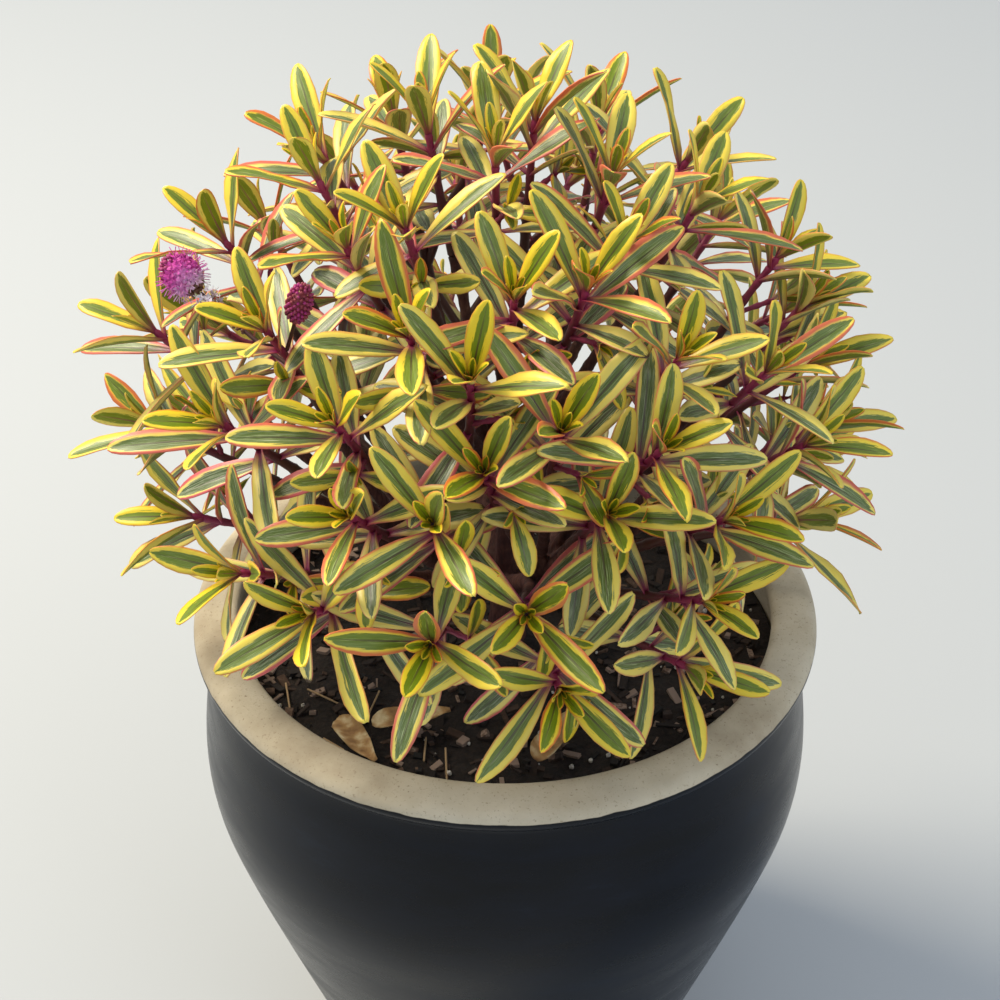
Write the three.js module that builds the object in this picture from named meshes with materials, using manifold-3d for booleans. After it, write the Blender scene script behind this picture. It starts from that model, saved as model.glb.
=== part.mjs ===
// A variegated hebe growing in a glazed stoneware pot.
//
// The pot is thrown in one piece, with a wide bare rim, a round shoulder and three drain holes. It
// is filled with potting mix up to a watering space below the rim. A short trunk forks into limbs, the
// limbs fork into branchlets of old wood, and each branchlet ends in a leafy shoot: a soft stem with
// leaves in opposite pairs, each pair a quarter turn from the one below. One shoot carries a flower
// raceme and a raceme in bud. Dead leaves lie on the mix.
//
// Millimetres, +Z up. The origin is at the middle of the pot's foot, and -Y is the front.
// A bearing is measured round +Z from the front, towards +X. A tilt is measured from straight up.
import * as THREE from "three";
import { mergeGeometries, mergeVertices } from "three/addons/utils/BufferGeometryUtils.js";
import Module from "manifold-3d";

const wasm = await Module();
wasm.setup();

// ---- driving dimensions ----
const GAP = 0.35; // kept between pieces that touch
const SLIVER = 0.02; // edges shorter than this are dropped
const WELD = 1e-4; // corners closer than this are one corner
const TOUCH = 0.002; // two leaves that share less than this volume are clear of each other
const POT = {
  height: 300,
  rimRadius: 170,
  mouthRadius: 145,
  wall: 13,
  floor: 18,
  footRadius: 104,
  innerFoot: 88,
  facets: 36,
};
const DRAIN = { count: 3, fromAxis: 50, radius: 8 };
const SOIL = { depthBelowRim: 28, dome: 5 };
const TRUNK = { height: 34, sunk: 40, radius: 8.5, flare: 12 };
const LIMB = { count: 8, tilt: 52, length: 62, radius: 5.2 };
// Where a branchlet leaves its limb, as a share of the limb: low shoots leave nearer the trunk.
const LEAVES_LIMB = { share: 0.96, lowShare: 0.75, lowTilt: 80, straight: 26 };
const BRANCHLET_RADIUS = 3;
// The point that shoots are aimed from, and how far from it they reach.
const CROWN = { x: -5, z: 410, reach: 172 };
const SHOOT = { length: 72, radius: 2.1, upturn: 0.6, bow: 0.8 };
// How far below its tip a forked branch starts, and where its forks leave it.
const BRANCH = { length: 104, forksAt: [92, 83], straight: 24, bow: 0.6 };
const LEAF = { width: 15, thickness: 1.5, channel: 1.1, droop: 0.13, widest: 0.55 };

// Every leafy shoot as [bearing, tilt] and, where it isn't CROWN.reach, its reach: where its growing tip
// stands, seen from the crown's middle.
const FLOWERING = 8;
const SHOOTS = [
  // the top of the crown
  [0, 5], [-130, 15], [140, 10], [70, 20], [-35, 25], [-90, 30], [45, 30], [-50, 32],
  // the one that flowers, on the left shoulder
  [-55, 50],
  // the front, from the shoulder down to the potting mix
  [5, 35], [25, 35], [85, 35], [-20, 42], [40, 50], [-5, 48], [12, 56], [60, 60], [30, 62], [-30, 58],
  [-2, 62, 164], [-55, 67], [-10, 70], [-25, 72, 166], [20, 71, 160], [40, 77], [65, 76], [5, 86, 166],
  [-10, 91], [-30, 90], [-46, 90], [35, 90], [35, 106, 170], [11, 104, 166],
  // the flanks
  [-100, 54], [100, 58], [-90, 70, 184], [95, 66, 174], [-85, 85, 176], [85, 85, 168], [90, 75, 164],
  [-75, 98, 164], [75, 98, 166],
];

// Branches that fork into three shoots, across the back: the middle one's tip, then the two others'.
const FORKED_BRANCHES = [
  [[-150, 38], [-118, 36], [-178, 26]],
  [[152, 42], [180, 50], [118, 40]],
  [[-172, 68], [-148, 62], [164, 66]],
  [[130, 66], [110, 76], [146, 80]],
  [[-128, 66], [-112, 80], [-150, 84]],
  [[168, 90], [-170, 96], [150, 104]],
  [[-130, 96], [-108, 100], [-150, 106]],
  [[122, 96], [102, 102], [138, 108]],
];

// Leaf pairs down a shoot from its tip: distance below the tip, length, and angle above square to the stem.
const PAIRS = [
  { below: 4, length: 42, rise: 66 }, { below: 10, length: 54, rise: 50 }, { below: 19, length: 59, rise: 34 },
  { below: 31, length: 58, rise: 18 }, { below: 46, length: 52, rise: 2 },
];
const SIDE_PAIR = { below: 3, length: 34, rise: 34 };
const SIDE_SHOOT = { below: 39, length: 22, rise: 42, radius: 1.4 };
// What a leaf tries, in turn, where its neighbours crowd it: a change of angle and a share of its length.
const LEAF_TRIES = [[0, 1], [12, 1], [-12, 1], [22, 0.95], [-22, 0.9], [0, 0.8], [30, 0.75], [-30, 0.7],
  [42, 0.6]];

// ---- small tools ----
const rad = THREE.MathUtils.degToRad;
const Z = new THREE.Vector3(0, 0, 1);

function heading(bearing, tilt) {
  const b = rad(bearing);
  const t = rad(tilt);
  return new THREE.Vector3(Math.sin(b) * Math.sin(t), -Math.cos(b) * Math.sin(t), Math.cos(t));
}

const numbered = (i) => String(i + 1).padStart(2, "0");

// A seeded random number from 0 to 1.
let seed = 20021;
function chance() {
  seed = (seed * 16807) % 2147483647;
  return seed / 2147483647;
}

function solidOf(geometry) {
  const bare = new THREE.BufferGeometry().setAttribute("position", geometry.getAttribute("position"));
  if (geometry.index) bare.setIndex(geometry.index);
  const merged = mergeVertices(bare, WELD);
  return new wasm.Manifold(new wasm.Mesh({
    numProp: 3,
    vertProperties: new Float32Array(merged.attributes.position.array),
    triVerts: new Uint32Array(merged.index.array),
  }));
}

function geometryOf(solid) {
  const mesh = solid.getMesh();
  return new THREE.BufferGeometry()
    .setAttribute("position", new THREE.BufferAttribute(new Float32Array(mesh.vertProperties), 3))
    .setIndex(new THREE.BufferAttribute(new Uint32Array(mesh.triVerts), 1));
}

// One solid from several, without the slivers that are left where thin pieces cross.
function join(solids) {
  return solids.reduce((sum, solid) => sum.add(solid)).simplify(SLIVER);
}

// A stem along a curve, with its thickness given at both ends and its section rolled by an angle.
function stem(curve, steps, sides, startRadius, endRadius, roll = 0) {
  const corners = Array.from({ length: sides }, (_, i) => {
    const angle = rad(roll) + (2 * Math.PI * i) / sides;
    return new THREE.Vector2(Math.cos(angle), Math.sin(angle));
  });
  const tube = new THREE.ExtrudeGeometry(new THREE.Shape(corners), { steps, extrudePath: curve });
  const centres = curve.getSpacedPoints(steps);
  const position = tube.getAttribute("position");
  const point = new THREE.Vector3();
  for (let i = 0; i < position.count; i++) {
    point.fromBufferAttribute(position, i);
    const distances = centres.map((c) => c.distanceTo(point));
    const nearest = distances.indexOf(Math.min(...distances));
    const radius = THREE.MathUtils.lerp(startRadius, endRadius, nearest / steps);
    point.sub(centres[nearest]).multiplyScalar(radius).add(centres[nearest]);
    position.setXYZ(i, point.x, point.y, point.z);
  }
  return solidOf(tube);
}

function lathe(outline) {
  const points = outline.map(([radius, z]) => new THREE.Vector2(radius, z));
  return new THREE.LatheGeometry(points, POT.facets).rotateX(Math.PI / 2);
}

// ---- the pot ----
// Radius of the pot's outside at depths below the rim: a neck, a full shoulder, and a taper to the foot.
const POT_SIDE = [
  [16, 161], [50, 165], [85, 168], [115, 165.5], [150, 156], [200, 139.5], [250, 122], [292, 107],
];

function potSolid() {
  const { height, rimRadius, mouthRadius, wall, floor, innerFoot } = POT;
  const outside = POT_SIDE.map(([depth, radius]) => [radius, height - depth]).reverse();
  const inside = POT_SIDE.slice(0, -1).map(([depth, radius]) => [radius - wall, height - depth]);
  const body = solidOf(lathe([
    [0, 0], [POT.footRadius, 0],
    ...outside,
    [rimRadius - 1, height - 11], [rimRadius, height - 7],
    [rimRadius - 4, height - 1.5], [rimRadius - 9, height],
    [mouthRadius + 4, height], [mouthRadius, height - 4],
    ...inside,
    [innerFoot, floor], [0, floor],
  ]));
  const drains = Array.from({ length: DRAIN.count }, (_, i) => {
    const spot = heading((360 * i) / DRAIN.count, 90).multiplyScalar(DRAIN.fromAxis);
    const hole = new THREE.CylinderGeometry(DRAIN.radius, DRAIN.radius, floor * 3, 10).rotateX(Math.PI / 2);
    return solidOf(hole.translate(spot.x, spot.y, 0));
  });
  return body.subtract(join(drains));
}

// Radius of the pot's inside wall at a height, between the rings that it is drawn with.
function insideRadius(z) {
  const lower = POT_SIDE.findIndex(([depth]) => POT.height - depth < z);
  const [[nearDepth, nearRadius], [farDepth, farRadius]] = [POT_SIDE[lower - 1], POT_SIDE[lower]];
  const share = (POT.height - z - nearDepth) / (farDepth - nearDepth);
  return THREE.MathUtils.lerp(nearRadius, farRadius, share) - POT.wall;
}

function soilSolid() {
  const top = POT.height - SOIL.depthBelowRim;
  const rings = [POT_SIDE[3], POT_SIDE[5]]
    .map(([depth, radius]) => [radius - POT.wall - GAP, POT.height - depth]);
  const mouth = insideRadius(top) - GAP;
  return solidOf(lathe([
    [0, POT.floor + GAP], [POT.innerFoot - GAP, POT.floor + GAP],
    ...rings.reverse(),
    [mouth, top], [mouth * 0.6, top + SOIL.dome * 0.5], [0, top + SOIL.dome],
  ]));
}

// ---- the old wood ----
const SOIL_TOP = POT.height - SOIL.depthBelowRim + SOIL.dome;
const FORK = new THREE.Vector3(0, 0, SOIL_TOP + TRUNK.height);

function trunkOutline(extra) {
  const foot = SOIL_TOP - TRUNK.sunk;
  return [[0, foot], [TRUNK.flare * 0.6 + extra, foot], [TRUNK.flare + extra, SOIL_TOP - 4],
    [TRUNK.radius + extra, SOIL_TOP + 12], [TRUNK.radius + extra, FORK.z], [0, FORK.z + 4]];
}

function trunkSolid(extra = 0) {
  const points = trunkOutline(extra).map(([radius, z]) => new THREE.Vector2(radius, z));
  return solidOf(new THREE.LatheGeometry(points, 10).rotateX(Math.PI / 2));
}

const limbs = Array.from({ length: LIMB.count }, (_, i) => heading((360 * (i + 0.4)) / LIMB.count, LIMB.tilt));
limbs.push(heading(0, 6)); // the leader, straight up

function limbFor(tip) {
  const aim = tip.clone().sub(FORK).normalize();
  const fits = limbs.map((limb) => limb.dot(aim));
  return limbs[fits.indexOf(Math.max(...fits))];
}

function limbSolid(limb) {
  const end = FORK.clone().addScaledVector(limb, LIMB.length);
  const line = new THREE.LineCurve3(FORK.clone().addScaledVector(Z, -3), end);
  return stem(line, 1, 6, LIMB.radius * 1.2, LIMB.radius * 0.85);
}

// A shoot's whole line, from its limb to its growing tip.
function shootLine([bearing, tilt, reach = CROWN.reach]) {
  const aim = heading(bearing, tilt);
  const tip = new THREE.Vector3(CROWN.x, 0, CROWN.z).addScaledVector(aim, reach);
  const limb = limbFor(tip);
  const limbShare = tilt > LEAVES_LIMB.lowTilt ? LEAVES_LIMB.lowShare : LEAVES_LIMB.share;
  const start = FORK.clone().addScaledVector(limb, LIMB.length * limbShare);
  const growth = aim.clone().addScaledVector(Z, SHOOT.upturn).normalize();
  return new THREE.CubicBezierCurve3(
    start,
    start.clone().addScaledVector(limb, LEAVES_LIMB.straight),
    tip.clone().addScaledVector(growth, -SHOOT.length * SHOOT.bow),
    tip,
  );
}

// The line of a shoot that forks from a branch, up to its own growing tip.
function forkLine(branch, [bearing, tilt, reach = CROWN.reach], below) {
  const share = 1 - below / branch.getLength();
  const start = branch.getPointAt(share);
  const aim = heading(bearing, tilt);
  const tip = new THREE.Vector3(CROWN.x, 0, CROWN.z).addScaledVector(aim, reach);
  const growth = aim.clone().addScaledVector(Z, SHOOT.upturn).normalize();
  return new THREE.CubicBezierCurve3(
    start,
    start.clone().addScaledVector(branch.getTangentAt(share), BRANCH.straight),
    tip.clone().addScaledVector(growth, -SHOOT.length * BRANCH.bow),
    tip,
  );
}

// The part of a line between two distances from its tip, as a curve of its own.
function lineBetween(line, farBelow, nearBelow) {
  const whole = line.getLength();
  const points = Array.from({ length: 7 }, (_, i) =>
    line.getPointAt((whole - THREE.MathUtils.lerp(farBelow, nearBelow, i / 6)) / whole));
  return new THREE.CatmullRomCurve3(points);
}

// ---- the leaves ----
// A leaf is a keeled blade with a point at each end, widest a little past its middle.
function leafSolid({ base, along, up, length, width }) {
  const across = new THREE.Vector3().crossVectors(along, up).normalize();
  const at = (share, side, lift) => base.clone()
    .addScaledVector(along, length * share)
    .addScaledVector(up, lift - LEAF.droop * length * share * share)
    .addScaledVector(across, side);
  const corners = [
    at(0, 0, 0),
    at(LEAF.widest, -width / 2, LEAF.channel),
    at(LEAF.widest, width / 2, LEAF.channel),
    at(LEAF.widest, 0, -LEAF.thickness),
    at(1, 0, 0),
  ];
  const faces = [[0, 2, 1], [0, 3, 2], [0, 1, 3], [1, 2, 4], [2, 3, 4], [3, 1, 4]];
  return solidOf(new THREE.BufferGeometry()
    .setAttribute("position", new THREE.Float32BufferAttribute(corners.flatMap((c) => c.toArray()), 3))
    .setIndex(faces.flat()));
}

function reachBox(solid) {
  const { min, max } = solid.boundingBox();
  return new THREE.Box3(new THREE.Vector3(...min), new THREE.Vector3(...max));
}

// What is already in place, so that a new leaf can be kept clear of it.
const placed = [];

function place(solid, owner) {
  placed.push({ solid, owner, box: reachBox(solid) });
  return solid;
}

function isClear(solid, mayTouch) {
  const box = reachBox(solid);
  return placed.every((other) => mayTouch.includes(other.owner) || !other.box.intersectsBox(box)
    || other.solid.intersect(solid).volume() < TOUCH);
}

// The first of a leaf's tries that meets nothing, or null where there is no room for it.
function fitLeaf(leaf, mayTouch) {
  const square = leaf.along;
  for (const [turn, share] of LEAF_TRIES) {
    const rise = rad(leaf.rise + turn);
    const along = square.clone().multiplyScalar(Math.cos(rise)).addScaledVector(leaf.axis, Math.sin(rise));
    const up = leaf.axis.clone().multiplyScalar(Math.cos(rise)).addScaledVector(square, -Math.sin(rise));
    const solid = leafSolid({ base: leaf.base, along, up, length: leaf.length * share, width: leaf.width });
    if (isClear(solid, mayTouch)) return solid;
  }
  return null;
}

// A pair of leaves at a distance below the tip of a stem, turned round it by a number of quarters.
// The stem is straight between its sections, so the pair's place is worked out along them.
function leafPair({ line, steps, turned }, pair, quarter, vigour) {
  const along = steps * (1 - pair.below / line.getLength());
  const lower = Math.min(Math.floor(along), steps - 1);
  const [below, above] = line.getSpacedPoints(steps).slice(lower, lower + 2);
  const base = below.clone().lerp(above, along - lower);
  const axis = above.clone().sub(below).normalize();
  const normal = line.computeFrenetFrames(steps).normals[Math.round(along)];
  const square = normal.clone().addScaledVector(axis, -normal.dot(axis)).normalize();
  return [0, 180].map((half) => ({
    base,
    axis,
    along: square.clone().applyAxisAngle(axis, rad(turned + 90 * quarter + half + 14 * (chance() - 0.5))),
    rise: pair.rise + 12 * (chance() - 0.5),
    length: pair.length * vigour * (0.9 + 0.2 * chance()),
    width: LEAF.width * Math.min(1, 0.45 + pair.length / 90) * (0.92 + 0.16 * chance()),
  }));
}

// ---- putting the plant together ----
const pieces = new Map();
const pot = place(potSolid(), "pot");
const trunk = trunkSolid();
const soil = place(soilSolid().subtract(trunkSolid(GAP)), "soil");

// Every branchlet's line and the names and lines of the shoots on it.
const branches = [
  ...SHOOTS.map((tip, i) => ({ name: "leafy_shoot_" + numbered(i), line: shootLine(tip), forks: [] })),
  ...FORKED_BRANCHES.map(([tip, ...forks], i) => (
    { name: "forked_branch_" + numbered(i), line: shootLine(tip), forks })),
];
branches.forEach((branch) => {
  branch.length = branch.forks.length ? BRANCH.length : SHOOT.length;
  branch.solids = [];
});

const wood = [trunk, ...limbs.map(limbSolid)];
branches.forEach(({ line, length }) => {
  const oldWood = lineBetween(line, line.getLength(), length + GAP);
  wood.push(stem(oldWood, 2, 4, BRANCHLET_RADIUS * 1.2, SHOOT.radius * 1.15));
});
const woodyFrame = place(join(wood), "woody_frame");

// A soft stem: its solid goes in its branch's node, and its leaves follow later.
function growStem(branch, line, steps, startRadius, endRadius) {
  const turned = 90 * chance();
  branch.solids.push(place(stem(line, steps, 4, startRadius, endRadius, turned + 45), branch.name));
  return { branch, line, steps, turned, vigour: 0.92 + 0.16 * chance() };
}

const shoots = branches.flatMap((branch) => {
  const { line, length, forks } = branch;
  const main = growStem(branch, lineBetween(line, length, 0), 3, SHOOT.radius, SHOOT.radius * 0.7);
  const others = forks.map((tip, i) =>
    growStem(branch, forkLine(line, tip, BRANCH.forksAt[i]), 3, SHOOT.radius * 0.9, SHOOT.radius * 0.7));
  return [main, ...others];
});

// A side shoot stands in the axil of each single shoot's fourth pair, where there is room for one.
const sideShoots = shoots.filter(({ branch }) => !branch.forks.length).map((shoot) => {
  const { branch } = shoot;
  const [side] = leafPair(shoot, SIDE_SHOOT, 1, 1);
  const out = side.along.clone().multiplyScalar(Math.cos(rad(SIDE_SHOOT.rise)))
    .addScaledVector(side.axis, Math.sin(rad(SIDE_SHOOT.rise)));
  const sideLine = new THREE.LineCurve3(side.base, side.base.clone().addScaledVector(out, SIDE_SHOOT.length));
  const solid = stem(sideLine, 1, 4, SIDE_SHOOT.radius, SIDE_SHOOT.radius * 0.8, 45);
  if (!isClear(solid, [branch.name])) return null;
  branch.solids.push(place(solid, branch.name + " side"));
  return { branch, line: sideLine, steps: 1, turned: 0, vigour: 1 };
}).filter(Boolean);

// The racemes stand in the axils of the flowering shoot: one open, on a long stalk, and one in bud.
const OPEN_RACEME = { below: 36, bearing: -125, tilt: 72, stalk: 58, headLength: 30, headRadius: 12 };
const BUD_RACEME = { below: 22, bearing: 55, tilt: 20, stalk: 18, headLength: 26, headRadius: 7.5 };

function racemeSolid({ below, bearing, tilt, stalk, headLength, headRadius }) {
  const { line } = branches[FLOWERING];
  const whole = line.getLength();
  const axil = line.getPointAt((whole - below) / whole);
  const aim = heading(bearing, tilt);
  const start = axil.clone().addScaledVector(aim, SHOOT.radius * 1.6 + GAP);
  const bend = start.clone().addScaledVector(aim, stalk * 0.6);
  const neck = start.clone().addScaledVector(aim, stalk).addScaledVector(Z, stalk * 0.08);
  const rise = neck.clone().sub(bend).normalize();
  const head = new THREE.SphereGeometry(1, 10, 8).scale(headRadius, headLength / 2, headRadius)
    .applyQuaternion(new THREE.Quaternion().setFromUnitVectors(new THREE.Vector3(0, 1, 0), rise));
  const middle = neck.clone().addScaledVector(rise, headLength / 2 - 2);
  head.translate(middle.x, middle.y, middle.z);
  return stem(new THREE.QuadraticBezierCurve3(start, bend, neck), 3, 6, 1.1, 0.9).add(solidOf(head));
}

pieces.set("flower_raceme", place(racemeSolid(OPEN_RACEME), "flower_raceme"));
pieces.set("bud_raceme", place(racemeSolid(BUD_RACEME), "bud_raceme"));

function growPair(shoot, pair, quarter, stemName) {
  const { branch } = shoot;
  const fitted = leafPair(shoot, pair, quarter, shoot.vigour)
    .map((leaf) => fitLeaf(leaf, [stemName])).filter(Boolean);
  branch.solids.push(...fitted);
  fitted.forEach((solid) => place(solid, branch.name + " leaf"));
}

// Leaves go on pair by pair from the tips down, so the outer ones have first call on the room.
PAIRS.forEach((pair, k) => shoots.forEach((shoot) => growPair(shoot, pair, k, shoot.branch.name)));
sideShoots.forEach((shoot) => growPair(shoot, SIDE_PAIR, 0, shoot.branch.name + " side"));

// Dead leaves that dropped on the mix, near the front of the rim.
const FALLEN = [{ bearing: -48, from: 118, turned: 30 }, { bearing: -40, from: 108, turned: 100 },
  { bearing: 8, from: 112, turned: 150 }];

FALLEN.forEach(({ bearing, from, turned }, i) => {
  const spot = heading(bearing, 90).multiplyScalar(from).setZ(SOIL_TOP + 3.2);
  const along = heading(turned, 84);
  const up = Z.clone().addScaledVector(along, -along.z).normalize();
  pieces.set("fallen_leaf_" + (i + 1), place(
    leafSolid({ base: spot, along, up, length: 34, width: LEAF.width }), "fallen_leaf"));
});

pieces.set("pot", pot);
pieces.set("potting_mix", soil);
pieces.set("woody_frame", woodyFrame);
branches.forEach((branch) => pieces.set(branch.name, join(branch.solids)));

// ---- materials ----
const finish = (color, roughness) => new THREE.MeshStandardMaterial({ color, roughness, metalness: 0 });
const MATERIALS = {
  glaze: finish("#10161f", 0.3),
  mix: finish("#2b211a", 0.95),
  bark: finish("#4a2a26", 0.8),
  foliage: finish("#a3a63f", 0.5),
  flower: finish("#b23aa6", 0.7),
  bud: finish("#8c2f4d", 0.7),
  dead: finish("#a07c56", 0.85),
};

function materialFor(name) {
  if (name === "pot") return MATERIALS.glaze;
  if (name === "potting_mix") return MATERIALS.mix;
  if (name === "woody_frame") return MATERIALS.bark;
  if (name === "flower_raceme") return MATERIALS.flower;
  if (name === "bud_raceme") return MATERIALS.bud;
  return name.startsWith("fallen") ? MATERIALS.dead : MATERIALS.foliage;
}

const plant = new THREE.Group();
for (const [name, solid] of pieces) {
  const mesh = new THREE.Mesh(geometryOf(solid), materialFor(name));
  mesh.name = name;
  plant.add(mesh);
}

export default plant;
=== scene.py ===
# A variegated hebe growing in a glazed stoneware pot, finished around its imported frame.
#
# The file follows the plant from the ground up: the studio, the pot, the potting mix and what lies on
# it, the old wood, the leafy shoots and the two racemes. Lengths are in metres unless a name says mm.
import math
import random

import bmesh
import bpy
import numpy as np
from mathutils import Matrix, Vector, noise


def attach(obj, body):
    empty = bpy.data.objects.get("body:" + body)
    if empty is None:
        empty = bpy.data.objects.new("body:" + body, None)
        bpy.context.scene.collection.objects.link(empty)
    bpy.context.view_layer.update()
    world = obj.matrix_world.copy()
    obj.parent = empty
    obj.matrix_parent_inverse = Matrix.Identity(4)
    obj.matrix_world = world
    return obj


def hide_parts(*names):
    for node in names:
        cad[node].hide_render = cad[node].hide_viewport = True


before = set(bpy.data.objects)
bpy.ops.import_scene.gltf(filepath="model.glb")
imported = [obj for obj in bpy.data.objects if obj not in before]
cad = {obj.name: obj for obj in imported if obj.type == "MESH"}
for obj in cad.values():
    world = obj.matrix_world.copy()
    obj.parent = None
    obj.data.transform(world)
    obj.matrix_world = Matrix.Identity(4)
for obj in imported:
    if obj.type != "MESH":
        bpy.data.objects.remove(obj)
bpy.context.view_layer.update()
MM = 0.001

# ---- the studio -------------------------------------------------------------------------------
# A plain pale floor under a high white sky, with one broad soft light from the left and behind, and
# a camera a little over a metre away that looks down on the crown.


def linear(colour):
    """The linear red, green, blue and alpha of an sRGB hex colour."""
    channels = [int(colour[i:i + 2], 16) / 255 for i in (1, 3, 5)]
    return [c / 12.92 if c <= 0.04045 else ((c + 0.055) / 1.055) ** 2.4 for c in channels] + [1.0]


def new_material(name):
    """An empty material's node tree and its Principled shader."""
    material = bpy.data.materials.new(name)
    material.use_nodes = True
    return material, material.node_tree, material.node_tree.nodes["Principled BSDF"]


bpy.ops.object.select_all(action="DESELECT")
bpy.ops.mesh.primitive_plane_add(size=16)
floor = bpy.context.object
floor.name = "floor"
painted_floor, tree, shader = new_material("matt pale paint")
shader.inputs["Base Color"].default_value = linear("#b9bcbe")
shader.inputs["Roughness"].default_value = 0.9
floor.data.materials.append(painted_floor)

sky = bpy.data.worlds.new("bright overcast sky")
sky.use_nodes = True
sky.node_tree.nodes["Background"].inputs["Color"].default_value = linear("#dfe8f2")
sky.node_tree.nodes["Background"].inputs["Strength"].default_value = 0.8
bpy.context.scene.world = sky

CROWN_MIDDLE = Vector((-5, 0, 410)) * MM
for name, place, size, power, colour in [
    ("key", (-1.5, 0.7, 2.4), 1.1, 96, "#fff4de"),
    ("fill", (1.8, -1.6, 1.9), 1.8, 14, "#eaf1ff"),
]:
    bpy.ops.object.light_add(type="AREA", location=place)
    lamp = bpy.context.object
    lamp.name = name
    lamp.data.size = size
    lamp.data.energy = power
    lamp.data.color = linear(colour)[:3]
    lamp.rotation_euler = (CROWN_MIDDLE - lamp.location).to_track_quat("-Z", "Y").to_euler()

LOOKS_DOWN = math.radians(36.12)
AIM = Vector((-2.8, 0, 366.2)) * MM
bpy.ops.object.camera_add(
    location=AIM + Vector((0, -math.cos(LOOKS_DOWN), math.sin(LOOKS_DOWN))) * 1.2704,
    rotation=(math.pi / 2 - LOOKS_DOWN, 0, 0),
)
camera = bpy.context.object
camera.name = "camera"
camera.data.lens = 86.4
bpy.context.scene.camera = camera
bpy.context.scene.view_settings.view_transform = "Standard"

# ---- the pot ----------------------------------------------------------------------------------
# A stoneware pot thrown on a wheel: a flat foot, a full shoulder, a thin rolled lip and a broad flat
# rim. It is dipped upside down in a dark navy glaze that stops at the lip, so the rim is bare clay.
POT_HEIGHT = 300
WALL = 13
FLOOR_THICK = 18
POT_SIDE = [(292, 107), (250, 122), (200, 139.5), (150, 156), (115, 165.5), (85, 168), (50, 165), (24, 161)]


def curve_through(points, each):
    """A smooth line through points, with `each` steps between two of them."""
    points = [np.array(p, float) for p in points]
    ends = [2 * points[0] - points[1]] + points + [2 * points[-1] - points[-2]]
    line = []
    for a, b, c, d in zip(ends, ends[1:], ends[2:], ends[3:]):
        for step in range(each):
            t = step / each
            line.append(0.5 * (2 * b + (c - a) * t + (2 * a - 5 * b + 4 * c - d) * t ** 2
                               + (3 * b - a - 3 * c + d) * t ** 3))
    return line + [points[-1]]


def select_only(piece):
    bpy.ops.object.select_all(action="DESELECT")
    piece.select_set(True)
    bpy.context.view_layer.objects.active = piece


def spun(name, profile, steps):
    """A closed piece turned round the upright axis from a profile of (radius, height) in mm."""
    bpy.ops.object.select_all(action="DESELECT")
    bpy.ops.mesh.primitive_plane_add(size=0.01, location=(0, 0, 0))
    piece = bpy.context.object
    piece.name = name
    bpy.ops.object.mode_set(mode="EDIT")
    bpy.ops.mesh.select_all(action="SELECT")
    bpy.ops.mesh.merge(type="CENTER")
    places = [Vector((radius, 0, height)) * MM for radius, height in profile]
    bpy.ops.transform.translate(value=places[0])
    for here, there in zip(places, places[1:]):
        bpy.ops.mesh.extrude_region_move(TRANSFORM_OT_translate={"value": there - here})
    bpy.ops.mesh.select_all(action="SELECT")
    bpy.ops.mesh.spin(steps=steps, angle=2 * math.pi, center=(0, 0, 0), axis=(0, 0, 1))
    bpy.ops.mesh.select_all(action="SELECT")
    bpy.ops.mesh.remove_doubles(threshold=0.00005)
    bpy.ops.mesh.normals_make_consistent(inside=False)
    bpy.ops.object.mode_set(mode="OBJECT")
    bpy.ops.object.shade_smooth()
    return piece


outside = curve_through([(radius, POT_HEIGHT - depth) for depth, radius in POT_SIDE], 5)
lip = curve_through([(161, 276), (161.5, 281), (165.5, 284), (168.6, 287.5), (169.7, 291), (168.6, 294.8),
                     (165.2, 297.4), (159, 299)], 3)
band = curve_through([(159, 299), (153, 299.8), (149, 299.7), (146.3, 298.6), (145, 296.2), (145.2, 292),
                      (148, 284)], 3)
inside = [(radius - WALL, POT_HEIGHT - depth) for depth, radius in reversed(POT_SIDE[1:-1])]
pot = spun("stoneware_pot", [(0, 0), (60, 0), (98, 0), (102.5, 0.6), (104.6, 3), *outside[1:-1], *lip[1:-1],
                             *band[:-1], *inside, (88, FLOOR_THICK), (0, FLOOR_THICK)], 144)

# The drain holes, cut through the floor.
for turn in range(3):
    angle = 2 * math.pi * turn / 3
    bpy.ops.object.select_all(action="DESELECT")
    bpy.ops.mesh.primitive_cylinder_add(
        vertices=24, radius=8 * MM, depth=60 * MM,
        location=(50 * MM * math.sin(angle), -50 * MM * math.cos(angle), 0))
    drill = bpy.context.object
    select_only(pot)
    cut = pot.modifiers.new("drain", "BOOLEAN")
    cut.object = drill
    cut.operation = "DIFFERENCE"
    bpy.ops.object.modifier_apply(modifier=cut.name)
    bpy.data.objects.remove(drill)

wall_heights = [FLOOR_THICK, *(height for _, height in reversed(inside))]
wall_radii = [88, *(radius for radius, _ in reversed(inside))]
glazed = pot.data.attributes.new("glazed", "FLOAT", "POINT")
for vertex, value in zip(pot.data.vertices, glazed.data):
    radius = math.hypot(vertex.co.x, vertex.co.y) / MM
    height = vertex.co.z / MM
    wall_radius = np.interp(height, wall_heights, wall_radii)
    outer = radius > (wall_radius + 7 if height < 276 else 157)
    value.value = float(np.interp(height, [2, 5, 290.5, 294], [0, 1, 1, 0])) if outer else 0.0


def add(tree, kind, settings=None, links=None):
    """Adds one shader node, with its settings and what its inputs are linked to."""
    node = tree.nodes.new("ShaderNode" + kind)
    for name, value in (settings or {}).items():
        if name == "stops":
            ramp = node.color_ramp
            while len(ramp.elements) < len(value):
                ramp.elements.new(1.0)
            for element, (position, colour) in zip(ramp.elements, value):
                element.position = position
                element.color = linear(colour)
        elif isinstance(name, int) or name in node.inputs:
            node.inputs[name].default_value = value
        else:
            setattr(node, name, value)
    for name, socket in (links or {}).items():
        tree.links.new(socket, node.inputs[name])
    return node


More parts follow.
